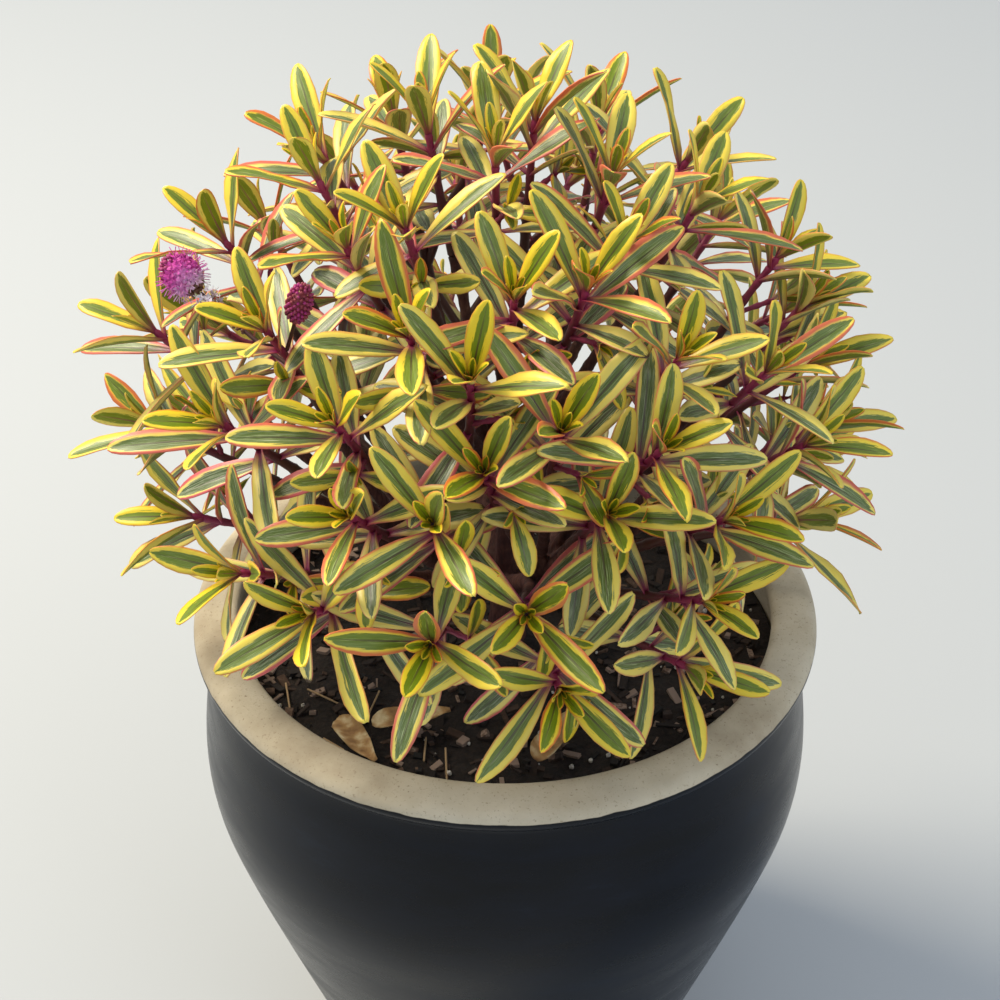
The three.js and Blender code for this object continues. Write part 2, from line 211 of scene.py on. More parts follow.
def maths(tree, operation, *values):
    """The result of a Math node, from numbers and other nodes' outputs."""
    node = add(tree, "Math", {"operation": operation})
    for socket, value in zip(node.inputs, values):
        if isinstance(value, (int, float)):
            socket.default_value = value
        else:
            tree.links.new(value, socket)
    return node.outputs[0]


def ranged(tree, value, start, end, low=0.0, high=1.0, smooth=False):
    """A value brought from one range to another, with its ends clamped."""
    node = add(tree, "MapRange", {"From Min": start, "From Max": end, "To Min": low, "To Max": high},
               {"Value": value})
    node.interpolation_type = "SMOOTHSTEP" if smooth else "LINEAR"
    return node.outputs[0]


def mixed(tree, share, first, second, blend_type="MIX"):
    """Two colours mixed by a share. A colour is a hex string or another node's output."""
    node = add(tree, "Mix", {"data_type": "RGBA", "blend_type": blend_type}, {0: share})
    for place, colour in ((6, first), (7, second)):
        if isinstance(colour, str):
            node.inputs[place].default_value = linear(colour)
        else:
            tree.links.new(colour, node.inputs[place])
    return node.outputs[2]


# Satin navy glaze over fired clay. The clay is buff, open and speckled with iron; the glaze pools
# smooth, breaks a little paler over the shoulder, and has picked up fine scuffs and dust.
stoneware, tree, shader = new_material("navy glazed stoneware")
spot = add(tree, "TexCoord").outputs["Object"]
glaze_edge = add(tree, "TexNoise", {"Scale": 90, "Detail": 2}, {"Vector": spot}).outputs[0]
coverage = add(tree, "Attribute", {"attribute_name": "glazed"}).outputs["Fac"]
wavering = maths(tree, "MULTIPLY_ADD", glaze_edge, 0.5, -0.25)
covered = maths(tree, "ADD", coverage, wavering)
glaze = ranged(tree, covered, 0.44, 0.56)

grit = add(tree, "TexNoise", {"Scale": 620, "Detail": 3, "Roughness": 0.7}, {"Vector": spot}).outputs[0]
stain = add(tree, "TexNoise", {"Scale": 14, "Detail": 5, "Roughness": 0.6}, {"Vector": spot}).outputs[0]
buff = add(tree, "ValToRGB", {"stops": [(0.3, "#9a8b74"), (0.5, "#b9ad95"), (0.72, "#cdc3ad")]}, {0: stain})
speck = ranged(tree, grit, 0.59, 0.75)
iron = mixed(tree, speck, buff.outputs[0], "#84725c")

smear = add(tree, "Mapping", {"Scale": (9, 9, 30)}, {"Vector": spot}).outputs[0]
dust = add(tree, "TexNoise", {"Scale": 1.4, "Detail": 6, "Roughness": 0.65}, {"Vector": smear}).outputs[0]
navy = add(tree, "ValToRGB", {"stops": [(0.35, "#03060c"), (0.6, "#070d18"), (0.82, "#18222f")]}, {0: dust})
chips = add(tree, "TexVoronoi", {"Scale": 55, "Randomness": 1.0}, {"Vector": spot}).outputs["Distance"]
chip = ranged(tree, chips, 0.075, 0.045)
rare = ranged(tree, stain, 0.6, 0.66)
scuffed = maths(tree, "MULTIPLY", chip, rare)
body = mixed(tree, scuffed, navy.outputs[0], "#77808a")

skin = mixed(tree, glaze, iron, body)
tree.links.new(skin, shader.inputs["Base Color"])
sheen = ranged(tree, dust, 0.3, 0.8, low=0.2, high=0.42)
shader.inputs["Specular IOR Level"].default_value = 0.2
rough = add(tree, "Mix", {2: 0.82}, {0: glaze, 3: sheen}).outputs[0]
tree.links.new(rough, shader.inputs["Roughness"])
relief = add(tree, "Mix", {3: 0.5}, {0: glaze, 2: grit}).outputs[0]
bumps = add(tree, "Bump", {"Strength": 0.35, "Distance": 0.0006}, {"Height": relief})
tree.links.new(bumps.outputs[0], shader.inputs["Normal"])
pot.data.materials.append(stoneware)
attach(pot, "root")
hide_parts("pot")

# ---- the potting mix --------------------------------------------------------------------------
# Composted bark and peat, nearly black where it is damp. It is one settled plug with a crumbled top,
# and the bark chips and perlite that lie loose on it are pieces of their own.
MIX_TOP = 272
MIX_DOME = 5
dice = random.Random(7)


def mix_height(x, y):
    """How high the mix stands, in mm, at a place in mm: a low dome with a crumbled surface."""
    dome = MIX_DOME * (1 - (math.hypot(x, y) / 149) ** 2) - 3.4
    coarse = noise.noise(Vector((x, y, 3.0)) / 26) * 2.2
    return MIX_TOP + dome + coarse + noise.noise(Vector((x, y, 9.0)) / 7) * 1.6


top_rings = [(149.2 * math.sqrt(1 - step / 60), MIX_TOP) for step in range(1, 60)]
mix = spun("potting_mix_top", [(0, 24), (86, 24), (124, 101), (149.2, MIX_TOP - 5), *top_rings,
                               (0, MIX_TOP)], 170)
for vertex in mix.data.vertices:
    if vertex.co.z > (MIX_TOP - 1) * MM:
        x, y = vertex.co.x / MM, vertex.co.y / MM
        vertex.co.z = mix_height(x, y) * MM

compost, tree, shader = new_material("composted bark and peat")
spot = add(tree, "TexCoord").outputs["Object"]
clod = add(tree, "TexVoronoi", {"Scale": 190}, {"Vector": spot})
fibre = add(tree, "TexNoise", {"Scale": 420, "Detail": 5, "Roughness": 0.7}, {"Vector": spot}).outputs[0]
tint = add(tree, "ValToRGB", {"stops": [(0.0, "#0b0806"), (0.45, "#1c1410"), (0.8, "#35271e"),
                                        (1.0, "#5b4a3d")]}, {0: fibre})
tree.links.new(tint.outputs[0], shader.inputs["Base Color"])
shader.inputs["Roughness"].default_value = 0.93
height = maths(tree, "ADD", clod.outputs["Distance"], fibre)
crumbs = add(tree, "Bump", {"Strength": 0.9, "Distance": 0.002}, {"Height": height})
tree.links.new(crumbs.outputs[0], shader.inputs["Normal"])
mix.data.materials.append(compost)
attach(mix, "root")
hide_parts("potting_mix")


def tone_attribute(mesh, name, value):
    """Gives every point of a mesh one value of a named attribute."""
    attribute = mesh.attributes.get(name) or mesh.attributes.new(name, "FLOAT", "POINT")
    attribute.data.foreach_set("value", [value] * len(mesh.vertices))


def joined(name, parts):
    """One piece from loose copies."""
    bpy.ops.object.select_all(action="DESELECT")
    for part in parts:
        part.select_set(True)
    bpy.context.view_layer.objects.active = parts[0]
    if len(parts) > 1:
        bpy.ops.object.join()
    parts[0].name = name
    parts[0].data.name = name
    return parts[0]


def copy_of(master, placed, **tones):
    """A copy of a master shape with its own mesh, its place in that mesh, and its own tones."""
    mesh = master.data.copy()
    mesh.transform(placed)
    for name, value in tones.items():
        tone_attribute(mesh, name, value)
    part = bpy.data.objects.new(master.name, mesh)
    bpy.context.scene.collection.objects.link(part)
    return part


# Bark chips split along the grain: blocks with bevelled, uneven corners.
chip_masters = []
for length, width, thick in [(9, 5, 2.6), (13, 4.2, 2.2), (6, 5, 3.2), (17, 3.2, 1.8)]:
    bpy.ops.object.select_all(action="DESELECT")
    bpy.ops.mesh.primitive_cube_add(size=1, location=(0, 0, 0))
    master = bpy.context.object
    master.name = "bark_chip"
    master.data.transform(Matrix.Diagonal((length * MM, width * MM, thick * MM, 1)))
    bpy.ops.object.mode_set(mode="EDIT")
    bpy.ops.mesh.select_all(action="SELECT")
    bpy.ops.mesh.subdivide(number_cuts=2, fractal=0.5, fractal_along_normal=0.4, seed=int(length))
    bpy.ops.mesh.bevel(offset=0.25 * MM, segments=1)
    bpy.ops.object.mode_set(mode="OBJECT")
    tone_attribute(master.data, "tone", 0.5)
    chip_masters.append(master)

chips_on_mix = []
CHIP_COUNT = 1000
while len(chips_on_mix) < CHIP_COUNT:
    radius = 146 * math.sqrt(dice.random())
    bearing = dice.uniform(0, 2 * math.pi)
    x, y = radius * math.sin(bearing), -radius * math.cos(bearing)
    size = dice.uniform(0.32, 1.0)
    if radius + 6 * size > 147 or radius < 16:
        continue
    spin = Matrix.Rotation(dice.uniform(0, 2 * math.pi), 4, "Z")
    turn = spin @ Matrix.Rotation(dice.gauss(0, 0.35), 4, "Y")
    place = Matrix.Translation(Vector((x, y, mix_height(x, y) + 0.7 * size)) * MM)
    sized = turn @ Matrix.Scale(size, 4)
    chips_on_mix.append(copy_of(dice.choice(chip_masters), place @ sized, tone=dice.random()))
bark_chips = joined("bark_chips", chips_on_mix)

bark, tree, shader = new_material("composted pine bark")
spot = add(tree, "TexCoord").outputs["Object"]
tone = add(tree, "Attribute", {"attribute_name": "tone"}).outputs["Fac"]
grain = add(tree, "TexNoise", {"Scale": 520, "Detail": 4}, {"Vector": spot}).outputs[0]
mottled = maths(tree, "MULTIPLY_ADD", grain, 0.35, tone)
tint = add(tree, "ValToRGB", {"stops": [(0.2, "#0e0a08"), (0.6, "#2a1c15"), (0.85, "#4a3527"),
                                        (0.98, "#6f5848"), (1.0, "#8b7668")]}, {0: mottled})
tree.links.new(tint.outputs[0], shader.inputs["Base Color"])
shader.inputs["Roughness"].default_value = 0.85
ridges = add(tree, "Bump", {"Strength": 0.6, "Distance": 0.0006}, {"Height": grain})
tree.links.new(ridges.outputs[0], shader.inputs["Normal"])
bark_chips.data.materials.append(bark)
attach(bark_chips, "root")

# Perlite: puffed white volcanic glass, in rough little grains.
bpy.ops.object.select_all(action="DESELECT")
bpy.ops.mesh.primitive_ico_sphere_add(subdivisions=2, radius=1.5 * MM, location=(0, 0, 0))
grain_master = bpy.context.object
grain_master.name = "perlite_grain"
for vertex in grain_master.data.vertices:
    vertex.co *= 1 + 0.35 * noise.noise(vertex.co * 900)
grains = []
GRAIN_COUNT = 90
for _ in range(GRAIN_COUNT):
    radius = 143 * math.sqrt(dice.random())
    bearing = dice.uniform(0, 2 * math.pi)
    x, y = radius * math.sin(bearing), -radius * math.cos(bearing)
    size = dice.uniform(0.35, 1.0)
    place = Matrix.Translation(Vector((x, y, mix_height(x, y) + 1.2 * size)) * MM)
    roll = Matrix.Rotation(dice.uniform(0, 6), 4, "X")
    grains.append(copy_of(grain_master, place @ roll @ Matrix.Scale(size, 4)))
perlite = joined("perlite", grains)
volcanic_glass, tree, shader = new_material("expanded perlite")
spot = add(tree, "TexCoord").outputs["Object"]
pores = add(tree, "TexNoise", {"Scale": 900, "Detail": 3}, {"Vector": spot}).outputs[0]
tint = add(tree, "ValToRGB", {"stops": [(0.3, "#8f8880"), (0.6, "#d8d3c8")]}, {0: pores})
tree.links.new(tint.outputs[0], shader.inputs["Base Color"])
shader.inputs["Roughness"].default_value = 0.9
pitted = add(tree, "Bump", {"Strength": 0.7, "Distance": 0.0004}, {"Height": pores})
tree.links.new(pitted.outputs[0], shader.inputs["Normal"])
perlite.data.materials.append(volcanic_glass)
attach(perlite, "root")
for master in [*chip_masters, grain_master]:
    bpy.data.objects.remove(master)

# ---- where the plant grows --------------------------------------------------------------------
# The plant's plan, as it is in its frame: a trunk that forks into limbs, a branchlet from a limb to
# every shoot, and eight branches across the back that fork into three shoots each.
FORK = Vector((0, 0, MIX_TOP + MIX_DOME + 34)) * MM
LIMB_LENGTH = 62 * MM
UP = Vector((0, 0, 1))
SHOOT_LENGTH = 72 * MM
REACH = 172
SHOOTS = [
    (0, 5), (-130, 15), (140, 10), (70, 20), (-35, 25), (-90, 30), (45, 30), (-50, 32),
    (-55, 50),
    (5, 35), (25, 35), (85, 35), (-20, 42), (40, 50), (-5, 48), (12, 56), (60, 60), (30, 62), (-30, 58),
    (-2, 62, 164), (-55, 67), (-10, 70), (-25, 72, 166), (20, 71, 160), (40, 77), (65, 76), (5, 86, 166),
    (-10, 91), (-30, 90), (-46, 90), (35, 90), (35, 106, 170), (11, 104, 166),
    (-100, 54), (100, 58), (-90, 70, 184), (95, 66, 174), (-85, 85, 176), (85, 85, 168), (90, 75, 164),
    (-75, 98, 164), (75, 98, 166),
]
FLOWERING = 8
FORKED_BRANCHES = [
    [(-150, 38), (-118, 36), (-178, 26)],
    [(152, 42), (180, 50), (118, 40)],
    [(-172, 68), (-148, 62), (164, 66)],
    [(130, 66), (110, 76), (146, 80)],
    [(-128, 66), (-112, 80), (-150, 84)],
    [(168, 90), (-170, 96), (150, 104)],
    [(-130, 96), (-108, 100), (-150, 106)],
    [(122, 96), (102, 102), (138, 108)],
]
BRANCH_LENGTH = 104 * MM
FORKS_AT = [92 * MM, 83 * MM]


def heading(bearing, tilt):
    """The direction at a bearing from the front towards +X and a tilt from straight up, in degrees."""
    b, t = math.radians(bearing), math.radians(tilt)
    return Vector((math.sin(b) * math.sin(t), -math.cos(b) * math.sin(t), math.cos(t)))


def bezier(a, b, c, d):
    """Points along a cubic Bezier curve, from a to d."""
    return [a * (1 - t) ** 3 + b * 3 * t * (1 - t) ** 2 + c * 3 * t * t * (1 - t) + d * t ** 3
            for t in np.linspace(0, 1, 161)]


def stretch(line, far, near, count):
    """The part of a line between two distances from its tip, as `count` evenly spaced points."""
    steps = np.array([(q - p).length for p, q in zip(line, line[1:])])
    to_tip = np.append(np.cumsum(steps[::-1])[::-1], 0)
    wanted = np.linspace(min(far, to_tip[0]), near, count)
    return [Vector([np.interp(-w, -to_tip, [p[k] for p in line]) for k in range(3)]) for w in wanted]


def tip_and_growth(bearing, tilt, reach=REACH):
    aim = heading(bearing, tilt)
    return CROWN_MIDDLE + aim * reach * MM, (aim + UP * 0.6).normalized()


limbs = [heading(360 * (i + 0.4) / 8, 52) for i in range(8)] + [heading(0, 6)]


def shoot_line(shoot):
    tip, growth = tip_and_growth(*shoot)
    limb = max(limbs, key=lambda way: way.dot((tip - FORK).normalized()))
    start = FORK + limb * LIMB_LENGTH * (0.75 if shoot[1] > 80 else 0.96)
    return bezier(start, start + limb * 26 * MM, tip - growth * SHOOT_LENGTH * 0.8, tip)


def fork_line(branch, shoot, below):
    tip, growth = tip_and_growth(*shoot)
    start, onward = stretch(branch, below, below - MM, 2)
    leaving = (onward - start).normalized()
    return bezier(start, start + leaving * 24 * MM, tip - growth * SHOOT_LENGTH * 0.6, tip)


def eased(points, reach):
    """A line of close points with its corners rounded."""
    rounded = list(points)
    for i in range(reach, len(points) - reach):
        near = points[i - reach:i + reach + 1]
        rounded[i] = sum(near, Vector()) / len(near)
    return rounded


# ---- the old wood -----------------------------------------------------------------------------
# Maroon-brown wood with a rough fork: the trunk, its limbs, and the branchlets that lost their leaves
# and kept a ring of scars at each place where a pair had been.


def stem_piece(name, line, radii):
    """A round stem along a line of points, with a radius in mm at each and capped ends."""
    curve = bpy.data.curves.new(name, "CURVE")
    curve.dimensions = "3D"
    curve.bevel_depth = MM
    curve.bevel_resolution = 2
    curve.use_fill_caps = True
    spline = curve.splines.new("POLY")
    spline.points.add(len(line) - 1)
    for point, place, radius in zip(spline.points, line, radii):
        point.co = (*place, 1)
        point.radius = radius
    piece = bpy.data.objects.new(name, curve)
    bpy.context.scene.collection.objects.link(piece)
    select_only(piece)
    bpy.ops.object.convert(target="MESH")
    return bpy.context.object


def scarred(count, thick, thin, spacing, step):
    """Radii in mm down a branchlet that swells a little at each ring of leaf scars."""
    radii = []
    for i in range(count):
        ring = max(0, math.cos(2 * math.pi * i * step / spacing)) ** 6
        radii.append(thick + (thin - thick) * i / (count - 1) + 0.5 * ring)
    return radii


def chord(line, count):
    """A line drawn straight between a few even points along it, then eased, as the frame's stems are."""
    length = sum((q - p).length for p, q in zip(line, line[1:]))
    corners = stretch(line, length, 0, count + 1)
    dense = []
    for p, q in zip(corners, corners[1:]):
        pieces = max(2, round((q - p).length / (2 * MM)))
        dense += [p.lerp(q, i / pieces) for i in range(pieces)]
    return eased(dense + [corners[-1]], 3)


branches = []
for i, shoot in enumerate(SHOOTS):
    line = shoot_line(shoot)
    branches.append({"node": f"leafy_shoot_{i + 1:02d}", "line": line,
                     "stems": [chord(stretch(line, SHOOT_LENGTH, 0, 60), 3)], "bare": SHOOT_LENGTH})
for i, (main, *forks) in enumerate(FORKED_BRANCHES):
    line = shoot_line(main)
    stems = [chord(stretch(line, BRANCH_LENGTH, 0, 80), 3)]
    stems += [chord(fork_line(line, fork, below), 3) for fork, below in zip(forks, FORKS_AT)]
    branches.append({"node": f"forked_branch_{i + 1:02d}", "line": line, "stems": stems,
                     "bare": BRANCH_LENGTH})

wood_parts = [stem_piece("trunk", [Vector((0, 0, z)) * MM for z in (236, 262, 272, 277, 284, 296, 311, 315)],
                         [7, 10, 12.5, 11.5, 9.4, 8.6, 8.8, 7])]
for limb in limbs:
    line = [FORK - UP * 3 * MM + (limb * LIMB_LENGTH + UP * 3 * MM) * t for t in np.linspace(0, 1, 14)]
    wood_parts.append(stem_piece("limb", line, [6.4 - 1.9 * i / 13 for i in range(14)]))
for branch in branches:
    length = sum((q - p).length for p, q in zip(branch["line"], branch["line"][1:]))
    line = chord(stretch(branch["line"], length, branch["bare"] + 0.3 * MM, 60), 2)
    wood_parts.append(stem_piece("branchlet", line, scarred(len(line), 3.6, 2.8, 12, 2)))
old_wood = joined("old_wood", wood_parts)
select_only(old_wood)
blend = old_wood.modifiers.new("grown together", "REMESH")
blend.mode = "VOXEL"
blend.voxel_size = 1.3 * MM
bpy.ops.object.modifier_apply(modifier=blend.name)
soften = old_wood.modifiers.new("softened", "SMOOTH")
soften.iterations = 2
bpy.ops.object.modifier_apply(modifier=soften.name)
outwards = [vertex.normal.copy() for vertex in old_wood.data.vertices]
for vertex, way in zip(old_wood.data.vertices, outwards):
    grain_at = Vector((vertex.co.x, vertex.co.y, vertex.co.z * 0.3)) * 420
    vertex.co += way * noise.noise(grain_at) * 0.35 * MM
bpy.ops.object.shade_smooth()

old_bark, tree, shader = new_material("hebe bark")
spot = add(tree, "TexCoord").outputs["Object"]
grain_way = add(tree, "Mapping", {"Scale": (1, 1, 0.25)}, {"Vector": spot}).outputs[0]
furrow = add(tree, "TexNoise", {"Scale": 700, "Detail": 4, "Roughness": 0.65},
             {"Vector": grain_way}).outputs[0]
patch = add(tree, "TexNoise", {"Scale": 60, "Detail": 3}, {"Vector": spot}).outputs[0]
tint = add(tree, "ValToRGB", {"stops": [(0.3, "#2a1512"), (0.5, "#46211d"), (0.68, "#6b4436"),
                                        (0.85, "#8a6a55")]},
           {0: maths(tree, "MULTIPLY_ADD", furrow, 0.5, maths(tree, "MULTIPLY", patch, 0.5))})
tree.links.new(tint.outputs[0], shader.inputs["Base Color"])
shader.inputs["Roughness"].default_value = 0.75
rough_bark = add(tree, "Bump", {"Strength": 0.7, "Distance": 0.0007}, {"Height": furrow})
tree.links.new(rough_bark.outputs[0], shader.inputs["Normal"])
old_wood.data.materials.clear()
old_wood.data.materials.append(old_bark)
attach(old_wood, "root")
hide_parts("woody_frame")

# ---- the leaves -------------------------------------------------------------------------------
# Narrow, blunt, waxy leaves with no stalk, folded along the midrib. Each is grey-green in the middle
# with a darker, streaky zone outside it, a broad yellow margin, and a fine red edge in strong light.
LEAF_LENGTH = 55 * MM
LEAF_WIDTH = 14 * MM
LEAF_THICK = 0.55 * MM
LEAF_STATIONS = [(0, 0.22), (0.09, 0.28), (0.2, 0.46), (0.36, 0.76), (0.53, 0.95), (0.69, 1.0), (0.82, 0.87),
                 (0.91, 0.66), (0.97, 0.42), (1.0, 0.15)]
DROOP = 0.13


def leaf_master(name, droop, wave, cup):
    """A leaf along +X from its base at the origin, facing +Z, shaped station by station from a grid."""
    bpy.ops.object.select_all(action="DESELECT")
    bpy.ops.mesh.primitive_grid_add(x_subdivisions=len(LEAF_STATIONS) - 1, y_subdivisions=4, size=1,
                                    location=(0, 0, 0))
    leaf = bpy.context.object
    leaf.name = name
    leaf.data.transform(Matrix.Translation((0.5, 0, 0)))
    columns = len(LEAF_STATIONS) - 1
    for vertex in leaf.data.vertices:
        share, half = LEAF_STATIONS[round(vertex.co.x * columns)]
        side = vertex.co.y * 2
        fold = cup * (1 - 0.45 * share) * (0.35 * abs(side) + 0.65 * side * side)
        ripple = wave * math.sin(share * 9 + (2 if side > 0 else 0)) * side * side
        vertex.co = Vector((share * LEAF_LENGTH, side * half * LEAF_WIDTH / 2,
                            (fold * half + ripple) * LEAF_WIDTH / 2 - droop * LEAF_LENGTH * share ** 2))
    select_only(leaf)
    shell = leaf.modifiers.new("thickness", "SOLIDIFY")
    shell.thickness = LEAF_THICK
    shell.offset = -1
    shell.material_offset = 1
    leaf.data.materials.append(leaf_upper)
    leaf.data.materials.append(leaf_under)
    bpy.ops.object.modifier_apply(modifier=shell.name)
    bpy.ops.object.shade_smooth()
    tone_attribute(leaf.data, "age", 0.5)
    tone_attribute(leaf.data, "chance", 0.5)
    return leaf


def leaf_material(name, upper):
    """The leaf's colours, drawn across it from the midrib to the margin by its own UV map."""
    material, tree, shader = new_material(name)
    across_along = add(tree, "SeparateXYZ", links={0: add(tree, "UVMap", {"uv_map": "UVMap"}).outputs[0]})
    along, across = across_along.outputs[0], across_along.outputs[1]
    age = add(tree, "Attribute", {"attribute_name": "age"}).outputs["Fac"]
    chance = add(tree, "Attribute", {"attribute_name": "chance"}).outputs["Fac"]
    side = maths(tree, "MULTIPLY_ADD", across, 2, -1)
    out = maths(tree, "ABSOLUTE", side)

    own = maths(tree, "MULTIPLY", chance, 91.7)
    streak_way = add(tree, "CombineXYZ", links={
        0: maths(tree, "MULTIPLY", along, 4.5),
        1: maths(tree, "MULTIPLY", side, 5.5), 2: own}).outputs[0]
    streak = add(tree, "TexNoise", {"Scale": 1.0, "Detail": 4, "Roughness": 0.6},
                 {"Vector": streak_way}).outputs[0]
    fine_way = add(tree, "CombineXYZ", links={
        0: maths(tree, "MULTIPLY", along, 7),
        1: maths(tree, "MULTIPLY", side, 26), 2: own}).outputs[0]
    fine = add(tree, "TexNoise", {"Scale": 1.0, "Detail": 3}, {"Vector": fine_way}).outputs[0]

    # How far out each zone reaches, narrowing towards the tip, and the streaks in its edge.
    taper = ranged(tree, along, 1.02, 0.7, smooth=True)
    spread = maths(tree, "MULTIPLY_ADD", chance, 0.2, 0.4)
    green_edge = maths(tree, "MULTIPLY", taper, spread)
    unsure = maths(tree, "MULTIPLY_ADD", streak, 0.78, -0.39)
    wobbled = maths(tree, "ADD", out, unsure)
    ragged = maths(tree, "MULTIPLY_ADD", fine, 0.34, wobbled)
    offset_edge = maths(tree, "ADD", green_edge, 0.17)
    past = maths(tree, "SUBTRACT", ragged, offset_edge)
    margin = ranged(tree, past, -0.035, 0.035, smooth=True)
    inner = ranged(tree, maths(tree, "MULTIPLY_ADD", fine, 0.7, past), -0.3, -0.12, smooth=True)

    def by_age(young, old):
        return mixed(tree, age, young, old)

    middle = by_age("#98a63c", "#97a382" if upper else "#b0b488")
    outer = by_age("#71860f", "#57693f" if upper else "#969f62")
    yellow = by_age("#ecce2c" if upper else "#e4d160", "#f0dd78" if upper else "#e8dc9a")
    green = mixed(tree, inner, middle, outer)
    dark_at = ranged(tree, fine, 0.35, 0.7, high=0.6)
    streaky = mixed(tree, dark_at, green, by_age("#b8c46a", "#a8b494"), blend_type="MULTIPLY")
    pale_at = ranged(tree, fine, 0.5, 0.32, high=0.6)
    pale_by_age = maths(tree, "MULTIPLY", pale_at, age)
    frosted = mixed(tree, pale_by_age, streaky, "#cbd2b6")
    bicolour = mixed(tree, margin, frosted, yellow)

    # The red edge: a hair's breadth on most leaves, and a wide flush on the ones that got the sun.
    sunned = ranged(tree, chance, 0.62, 1.0, low=0.0, high=0.34)
    flush_at = maths(tree, "SUBTRACT", 0.93, sunned)
    flushing = maths(tree, "SUBTRACT", out, flush_at)
    flush = ranged(tree, maths(tree, "MULTIPLY_ADD", unsure, 0.35, flushing), -0.05, 0.13, high=0.92)
    rosy = mixed(tree, age, "#dd6a34", "#cb4460")
    edged = mixed(tree, flush, bicolour, rosy)

    # The midrib is a fine dark line that fades towards the tip, and the leaf's base is magenta.
    rib_half = ranged(tree, along, 0.0, 1.0, low=0.11, high=0.035)
    rib = maths(tree, "LESS_THAN", out, rib_half)
    fading = ranged(tree, along, 0.95, 0.3, high=0.85)
    ribbed = mixed(tree, maths(tree, "MULTIPLY", rib, fading), edged, "#3a1727" if upper else "#7d3a55")
    foot = ranged(tree, maths(tree, "MULTIPLY_ADD", fine, 0.14, along), 0.42, 0.1, smooth=True)
    based = mixed(tree, foot, ribbed, "#94265c")
    at_tip = maths(tree, "MULTIPLY_ADD", streak, 0.22, along)
    withered = ranged(tree, at_tip, 0.97, 1.02)
    scorched = maths(tree, "LESS_THAN", chance, 0.16)
    old_enough = maths(tree, "GREATER_THAN", age, 0.8)
    both = maths(tree, "MULTIPLY", scorched, old_enough)
    browned = mixed(tree, maths(tree, "MULTIPLY", withered, both), based, "#4b3626")
    tree.links.new(browned, shader.inputs["Base Color"])
    shader.inputs["Roughness"].default_value = 0.38 if upper else 0.6
    shader.inputs["Subsurface Weight"].default_value = 0.12
    shader.inputs["Subsurface Radius"].default_value = (0.003, 0.003, 0.001)
    shader.inputs["Subsurface Scale"].default_value = 1.0
    veins = add(tree, "Bump", {"Strength": 0.25, "Distance": 0.0003}, {"Height": fine})
    tree.links.new(veins.outputs[0], shader.inputs["Normal"])
    return material


leaf_upper = leaf_material("waxy variegated leaf", True)
leaf_under = leaf_material("matt leaf underside", False)
leaf_masters = [
    leaf_master("leaf_flat", DROOP, 0.06, 0.4),
    leaf_master("leaf_wavy", DROOP, 0.18, 0.34),
    leaf_master("leaf_folded", DROOP * 1.1, 0.05, 0.56),
]
curled_master = leaf_master("leaf_curled", -0.04, 0.2, 0.55)

# A leaf in the frame is widest this share of the way along. There its keel's corner hangs below the
# leaf's middle, and its two side corners stand above it.
KEEL = 1.5 * MM
CHANNEL = 1.1 * MM
WIDEST = 0.55
# Its tip meets three edges, none shorter than this, and the keel's corner is this deep, least and most.
# One edge longer than the next by more than this ratio means that the keel's corner is missing.
SHORTEST_TIP_EDGE = 6 * MM
KEEL_DEPTHS = (2 * MM, 3.4 * MM)
KEEL_MISSING = 1.6
DIP = math.atan(DROOP * (1 - WIDEST ** 2) / (1 - WIDEST))
# A drawn leaf is a little slimmer than its leaf in the frame, and its tip stops just short of it.
SHORTER = 0.985
NARROWER = 0.86
# A leaf whose base is farther than this from every stem's line stands on a side shoot.
ON_SIDE_SHOOT = 4 * MM


def cad_leaves(node):
    """Where each leaf of a packed shoot is: its base, its ways along and up, its length and its width."""
    shape = bmesh.new()
    shape.from_mesh(cad[node].data)
    bmesh.ops.remove_doubles(shape, verts=shape.verts, dist=2e-6)
    found = []
    for tip in shape.verts:
        if len(tip.link_edges) != 3 or min(edge.calc_length() for edge in tip.link_edges) < SHORTEST_TIP_EDGE:
            continue
        ring = [edge.other_vert(tip).co.copy() for edge in tip.link_edges]
        ring.sort(key=lambda p: (p - tip.co).length)
        if (ring[2] - tip.co).length > KEEL_MISSING * (ring[1] - tip.co).length:
            # This leaf has lost its keel's corner, so its third edge runs on from the tip to its base.
            left, right, foot = ring
            up = (tip.co - foot).cross(right - left).normalized()
            if ((left + right) / 2 - foot).dot(up) < 0:
                up = -up
            middle = (left + right) / 2 - up * CHANNEL
            onward = (tip.co - middle).normalized()
            lifted = (up - onward * up.dot(onward)).normalized()
            along = onward * math.cos(DIP) + lifted * math.sin(DIP)
            up = lifted * math.cos(DIP) - onward * math.sin(DIP)
        else:
            keel = min(ring, key=lambda p: sum((p - q).length for q in ring))
            left, right = [p for p in ring if p is not keel]
            up = (left + right) / 2 - keel
            if not KEEL_DEPTHS[0] < up.length < KEEL_DEPTHS[1]:
                continue
            up.normalize()
            along = up.cross((right - left).normalized())
            middle = keel + up * KEEL
            if (tip.co - middle).dot(along) < 0:
                along = -along
        length = (tip.co - middle).dot(along) / (1 - WIDEST)
        base = middle - along * length * WIDEST + up * DROOP * length * WIDEST ** 2
        found.append({"base": base, "along": along, "up": up, "length": length,
                      "width": (right - left).length})
    shape.free()
    return found


def placed_leaf(base, along, up, length, width, age):
    """A copy of a leaf at its place on a stem."""
    across = up.cross(along)
    turn = Matrix((along, across, up)).transposed().to_4x4()
    scale = length / LEAF_LENGTH * SHORTER
    size = Matrix.Diagonal((scale, width * NARROWER / LEAF_WIDTH, scale, 1))
    chosen = dice.choice(leaf_masters)
    return copy_of(chosen, Matrix.Translation(base) @ turn @ size, age=age, chance=dice.random())


